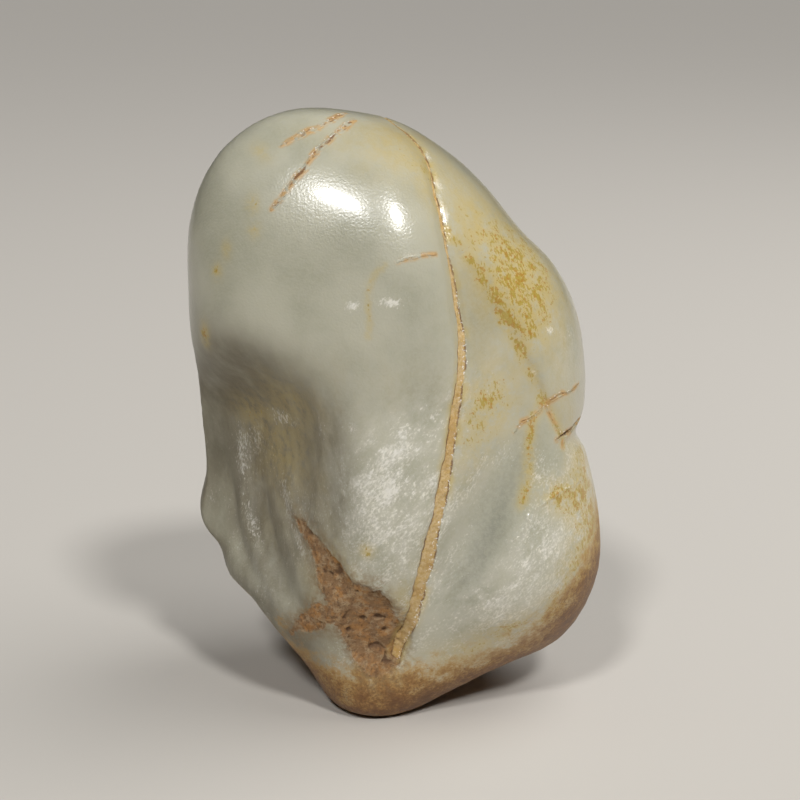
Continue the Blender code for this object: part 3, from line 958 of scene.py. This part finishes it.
# %% Mix the body colour
CLEAR_JADE = (0.36, 0.35, 0.265, 1)
MILKY_JADE = (0.45, 0.435, 0.34, 1)
OLIVE_JADE = (0.44, 0.35, 0.16, 1)
GLASSY_JADE_AND_SHADE = (0.20, 0.205, 0.16, 1)

haze = recipe.ramp(recipe.noise(upright, 9.0, 4.0, 0.6), 0.3, 0.65)
close = recipe.ramp(recipe.noise(at, 1.6, 4.0, 0.75), 0.38, 0.62)
body = recipe.coat(CLEAR_JADE, MILKY_JADE, recipe.ramp(recipe.noise(at, 26.0, 3.0), 0.35, 0.65))
# darker bands: partly glassy jade, partly painted shade in the hollow and the trough
body = recipe.coat(body, GLASSY_JADE_AND_SHADE, recipe.field("clear_and_shade"), 0.7)
body = recipe.coat(body, OLIVE_JADE, recipe.field("olive"), haze, 0.9)
body = recipe.coat(body, MILKY_JADE, close, 0.3)
print("four tints of jade")

# %% [markdown]
# Painted shade darkens the hollow and the left side: a patchy olive-brown coat, partly a darker skin, stands
# in for the shade that falls there. The clouds are veils drawn out along the fibres, thinner in the hollow.
# Where the two directions of the fibres meet, the patterns are blended and not the places, because bent
# places would draw false lines.

# %% Add the painted shade and the clouds
CLOUD_WHITE = (0.56, 0.54, 0.46, 1)
HOLLOW_SHADE = (0.080, 0.056, 0.022, 1)

cloud_field, snow_field, hollow_field = (recipe.field(name) for name in ("cloud", "snow_and_glints", "hollow"))


def along_fibres(measure):
    """What `measure` finds along the face's slanted fibres, and inside the hollow along the upright ones."""
    face, inside = measure(slanted), measure(upright)
    return recipe.plus(face, recipe.times(hollow_field, recipe.math("SUBTRACT", inside, face)))


# painted shade: the patches in which the hollow's dark coat lies
film = recipe.ramp(recipe.noise(upright, 8.0, 5.0, 0.62), 0.25, 0.62, 0.6, 1.0)
veil = along_fibres(lambda fibres: recipe.ramp(recipe.noise(fibres, 6.0, 6.0, 0.7), 0.36, 0.62))
veil_strength = recipe.ramp(hollow_field, 0.2, 1.0, 0.75, 0.35)
# paint the shade over the hollow and the left side
body = recipe.coat(body, HOLLOW_SHADE, hollow_field, film, 0.85)
body = recipe.coat(body, CLOUD_WHITE, veil, cloud_field, veil_strength)
print("a film and a veil")

# %% [markdown]
# Snowy flecks crowd inside the veils. Finer flecks, like frost, come in patches over the whole lower
# half.

# %% Add the flecks
# The same white paints the flecks and the painted glints.
SNOW_WHITE = (0.84, 0.81, 0.74, 1)
COARSE_FLECK, FINE_FLECK = 1.0, 0.65

snowy = recipe.times(cloud_field, recipe.ramp(veil, 0.1, 1.0, 0.5, 0.9))
white = recipe.math("SMOOTH_MAX", snowy, snow_field, 0.1)
patches = along_fibres(lambda fibres: recipe.ramp(recipe.noise(fibres, 9.0, 4.0, 0.6), 0.35, 0.6, 0.4, 1.0))
frosted = recipe.math("SMOOTH_MAX", white, recipe.times(recipe.field("frost"), patches), 0.2)
crowded = recipe.times(white, 0.78)
coarse_flecks = along_fibres(lambda fibres: mottle(recipe, fibres, crowded, COARSE_FLECK, 0.12))
fine_flecks = along_fibres(lambda fibres: mottle(recipe, fibres, frosted, FINE_FLECK, 0.24))
body = recipe.coat(body, SNOW_WHITE, fine_flecks, 0.42)
body = recipe.coat(body, SNOW_WHITE, coarse_flecks, 0.5)
print("flecks of", COARSE_FLECK, "and", FINE_FLECK, "mm")

# %% [markdown]
# Iron colours the skin in layers. The lightest is a yellow haze, with olive and ochre specks in it where
# the iron has gathered.

# %% Add the yellow stains
YELLOW_HAZE = (0.50, 0.38, 0.13, 1)
OLIVE_SPECK = (0.36, 0.26, 0.035, 1)
OCHRE = (0.38, 0.20, 0.03, 1)

yellow_field = recipe.field("yellow")
yellow_haze = recipe.ramp(recipe.noise(at, 4.0, 6.0, 0.7), 0.28, 0.58)
patchy = recipe.times(yellow_field, recipe.ramp(recipe.noise(at, 4.0, 3.0), 0.35, 0.65, 0.5, 1.0))
olive_specks = mottle(recipe, upright, recipe.times(patchy, 0.85), 0.9, 0.08)
ochre_specks = mottle(recipe, at, recipe.times(patchy, 0.66), 1.1, 0.06)
body = recipe.coat(body, YELLOW_HAZE, yellow_haze, yellow_field, 0.9)
body = recipe.coat(body, OLIVE_SPECK, olive_specks, 0.8)
body = recipe.coat(body, OCHRE, ochre_specks, 0.8)
print("a haze and two kinds of specks")

# %% [markdown]
# The rind is thicker and darker towards its middle: golden at the rim, then russet, then nearly black. On
# the underside and the toe these layers are partly painted shade, and the nearly black layer near the floor
# stands in for the shade where the stone meets it. Noise breaks the rind up, so that its rim is ragged and
# some jade shows through.

# %% Add the russet rind and the shade painted with it
GOLDEN_RUSSET = (0.41, 0.23, 0.042, 1)
RUSSET = (0.21, 0.088, 0.015, 1)
DARK_RUSSET = (0.11, 0.040, 0.008, 1)

russet_field = recipe.field("russet_and_shade")
breaks = recipe.ramp(recipe.noise(at, 6.0, 7.0, 0.78), 0.3, 0.7, -0.32, 0.32)
rind = recipe.plus(russet_field, recipe.times(breaks, recipe.ramp(russet_field, 0.02, 0.3)))
dark_specks = mottle(recipe, at, recipe.times(russet_field, 0.7), 0.9, 0.1)
body = recipe.coat(body, GOLDEN_RUSSET, recipe.ramp(rind, 0.15, 0.75), 0.86)
body = recipe.coat(body, RUSSET, recipe.ramp(rind, 0.5, 1.0), 0.85)
# nearly black: rind, and painted shade near the floor at the toe
body = recipe.coat(body, DARK_RUSSET, recipe.ramp(rind, 0.9, 1.25), 0.7)
body = recipe.coat(body, DARK_RUSSET, dark_specks, 0.5)
print("three layers of rind")

# %% [markdown]
# The pocket's clay is brown, with paler dust on it, and it is painted darker in its pits. Its edge is
# ragged, and a thin brown film has washed out of it.

# %% Paint the pocket
POCKET_CLAY = (0.23, 0.12, 0.045, 1)
TAN_DUST = (0.38, 0.27, 0.15, 1)
ORANGE_CLAY = (0.36, 0.17, 0.045, 1)
FILM_BROWN = (0.22, 0.14, 0.055, 1)
DARK_CLAY = (0.10, 0.042, 0.015, 1)
FILM_REACH = 6.0

ragged = recipe.math("SUBTRACT", recipe.noise(at, 1.4, 4.0, 0.7), 0.5)
clay_field = recipe.plus(recipe.field("clay_edge"), recipe.times(ragged, 3.5))
clay_mask = recipe.ramp(clay_field, 0.7, -0.7)
orange = recipe.ramp(recipe.noise(at, 5.0, 4.0, 0.6), 0.45, 0.62)
dust = recipe.ramp(recipe.noise(at, 3.0, 5.0, 0.7), 0.46, 0.62)
clay = recipe.coat(POCKET_CLAY, ORANGE_CLAY, orange)
clay = recipe.coat(clay, TAN_DUST, dust, 0.7)
clay = recipe.coat(clay, DARK_CLAY, mottle(recipe, at, 0.5, 1.2, 0.12), 0.6)
clay = recipe.coat(clay, DARK_CLAY, recipe.field("pits"), 0.8)
film_breaks = recipe.ramp(recipe.noise(at, 2.4, 5.0, 0.7), 0.35, 0.65)
body = recipe.coat(body, FILM_BROWN, recipe.ramp(clay_field, FILM_REACH, 0.0), film_breaks, 0.85)
body = recipe.coat(body, clay, clay_mask, 0.94)
print("a film", FILM_REACH, "mm wide around the clay")

# %% [markdown]
# The seam's clay is paler: tan with a pink cast, and orange where it is damp. It has left a yellow haze
# in the jade on both sides.

# %% Paint the seam
SEAM_CLAY = (0.53, 0.36, 0.13, 1)
PINK_CLAY = (0.61, 0.45, 0.24, 1)
DAMP_CLAY = (0.44, 0.25, 0.06, 1)
HAZE_REACH = 3.2

seam_ragged = recipe.times(recipe.math("SUBTRACT", recipe.noise(at, 0.9, 3.0, 0.6), 0.5), 0.9)
seam_field = recipe.plus(recipe.field("seam_edge"), seam_ragged)
seam_mask = recipe.ramp(seam_field, 0.2, -0.2)
seam_clay = recipe.coat(SEAM_CLAY, PINK_CLAY, recipe.ramp(recipe.noise(at, 1.1, 4.0, 0.7), 0.38, 0.6))
seam_clay = recipe.coat(seam_clay, DAMP_CLAY, recipe.ramp(recipe.noise(at, 6.0, 3.0), 0.5, 0.64), 0.5)
haze_breaks = recipe.ramp(recipe.noise(at, 8.0), 0.35, 0.65)
body = recipe.coat(body, YELLOW_HAZE, recipe.ramp(seam_field, HAZE_REACH, 0.0), haze_breaks, 0.7)
body = recipe.coat(body, seam_clay, seam_mask)
print("a haze", HAZE_REACH, "mm wide along the seam")

# %% [markdown]
# A dark line shows where the clay has shrunk from the walls, and painted glints, white specks that stand for
# sparkles of light, sit along its right edge.

# %% Paint the seam's edges and its glints
SEAM_DARK = (0.17, 0.08, 0.025, 1)

rim = recipe.without(recipe.ramp(recipe.math("ABSOLUTE", seam_field), 0.1, 0.4))
rim_breaks = recipe.ramp(recipe.noise(at, 4.5, 3.0), 0.42, 0.56)
right_side = recipe.ramp(recipe.field("seam_aside"), 0.2, 0.8)
# painted glints: white specks for sparkles of light beside the seam
painted_glints = recipe.times(right_side, recipe.ramp(recipe.field("seam_edge"), 1.4, 0.3))
body = recipe.coat(body, SEAM_DARK, rim, rim_breaks, 0.8)
body = recipe.coat(body, SNOW_WHITE, mottle(recipe, at, recipe.times(painted_glints, 0.42), 0.9, 0.06), 0.85)
print("grains along the right edge")

# %% [markdown]
# The cracks hold brown dirt at their bottoms and ochre along their lips. Their blow has left chipped white
# grains on one side. The white specks on the beads are painted glints, sparkles of light on the worn ridge.

# %% Paint the cracks
CRACK_BROWN = (0.17, 0.07, 0.02, 1)
CRACK_TAN = (0.52, 0.30, 0.10, 1)

crack_field = recipe.plus(recipe.field("crack_edge"), recipe.times(ragged, 0.8))
lips, lip_breaks = recipe.ramp(crack_field, 1.7, 0.2), recipe.ramp(recipe.noise(at, 3.0, 3.0), 0.35, 0.6)
bottom, dirt = recipe.ramp(crack_field, 0.1, -0.35), recipe.ramp(recipe.noise(at, 2.2, 3.0), 0.44, 0.6)
one_side = recipe.ramp(recipe.field("crack_side"), 0.0, -0.5)
chipped = recipe.times(one_side, recipe.ramp(recipe.field("crack_edge"), 1.5, 0.4))
# chipped grains beside the cracks, and painted glints on the beads
chips_and_glints = recipe.math("MAXIMUM", chipped, recipe.field("ridge"))
body = recipe.coat(body, CRACK_TAN, lips, lip_breaks, 0.8)
body = recipe.coat(body, CRACK_BROWN, bottom, dirt, 0.85)
body = recipe.coat(body, SNOW_WHITE, mottle(recipe, at, recipe.times(chips_and_glints, 0.4), 0.8, 0.06), 0.85)
recipe.feed(shader.inputs["Base Color"], body)
print(len(material.node_tree.nodes), "nodes so far")

# %% [markdown]
# ## Gloss and grain
#
# Water has polished the dome, while clouds, rind and hollow stay duller, and the clay is matt. Over the
# soft gloss lies a thin sharper one, as on waxed stone, wherever the skin is polished.

# %% Set the gloss
POLISHED, DULL, MATT = 0.28, 0.55, 0.85
WAX, WAX_LEFT = 0.5, 0.05

cloudy = recipe.times(cloud_field, 0.75)
dull = recipe.math("SMOOTH_MAX", recipe.math("SMOOTH_MAX", cloudy, hollow_field, 0.3), russet_field, 0.3)
matt = recipe.math("MAXIMUM", seam_mask, recipe.ramp(crack_field, 0.6, 0.0))
matt = recipe.math("MAXIMUM", clay_mask, matt)
shiny = recipe.without(matt)
gloss = recipe.times(recipe.ramp(dull, 0.0, 1.0, POLISHED, DULL), shiny)
recipe.feed(shader.inputs["Roughness"], recipe.plus(gloss, recipe.times(matt, MATT)))
recipe.feed(shader.inputs["Coat Weight"], recipe.times(shiny, recipe.ramp(dull, 0.0, 0.8, WAX, WAX_LEFT)))
shader.inputs["Coat Roughness"].default_value = 0.13
shader.inputs["IOR"].default_value = 1.61
print("roughness from", POLISHED, "to", MATT)

# %% [markdown]
# A fine grain breaks the highlights into sparkles. It is too fine to carve, so it is a bump, and so are
# the short fibres of the clouds and the grit of the clay.

# %% Set the grain
GRAIN, PEEL, FIBRE, GRIT = 0.09, 0.04, 0.14, 0.5  # heights

fibre_noise = along_fibres(lambda fibres: recipe.noise(fibres, 1.2, 3.0, 0.65))
heights = recipe.plus(
    recipe.times(recipe.noise(at, 0.8, 1.0, 0.5), GRAIN),
    recipe.times(recipe.noise(at, 2.6, 2.0), PEEL),
    recipe.times(recipe.math("SUBTRACT", fibre_noise, 0.5), recipe.ramp(dull, 0.1, 0.8, 0.0, FIBRE)),
    recipe.times(recipe.noise(at, 0.8, 4.0, 0.7), matt, GRIT),
)
bump = recipe.node("ShaderNodeBump", Strength=1.0, Distance=MM, Height=heights)
recipe.feed(shader.inputs["Normal"], bump.outputs["Normal"])
print("grain", GRAIN, "mm high")

# %% [markdown]
# Light goes a few millimetres into jade before it comes out again, red a little further than blue.

# %% Let light into the jade
DEPTH = 3.0

shader.inputs["Subsurface Weight"].default_value = 0.25
shader.inputs["Subsurface Radius"].default_value = (1.0, 0.9, 0.6)
shader.inputs["Subsurface Scale"].default_value = DEPTH * MM
jade.data.materials.append(material)
print(len(material.node_tree.nodes), "nodes in the jade")

# %% [markdown]
# ## The floor's colour
#
# A pale warm grey keeps the eye on the stone. It is matt, so that nothing shows in it but the stone's
# shadow.

# %% Colour the floor
FLOOR_GREY = (0.54, 0.51, 0.465, 1)

floor_material = bpy.data.materials.new("pale floor")
floor_material.use_nodes = True
floor_shader = floor_material.node_tree.nodes["Principled BSDF"]
floor_shader.inputs["Base Color"].default_value = FLOOR_GREY
floor_shader.inputs["Roughness"].default_value = 0.8
floor.data.materials.append(floor_material)
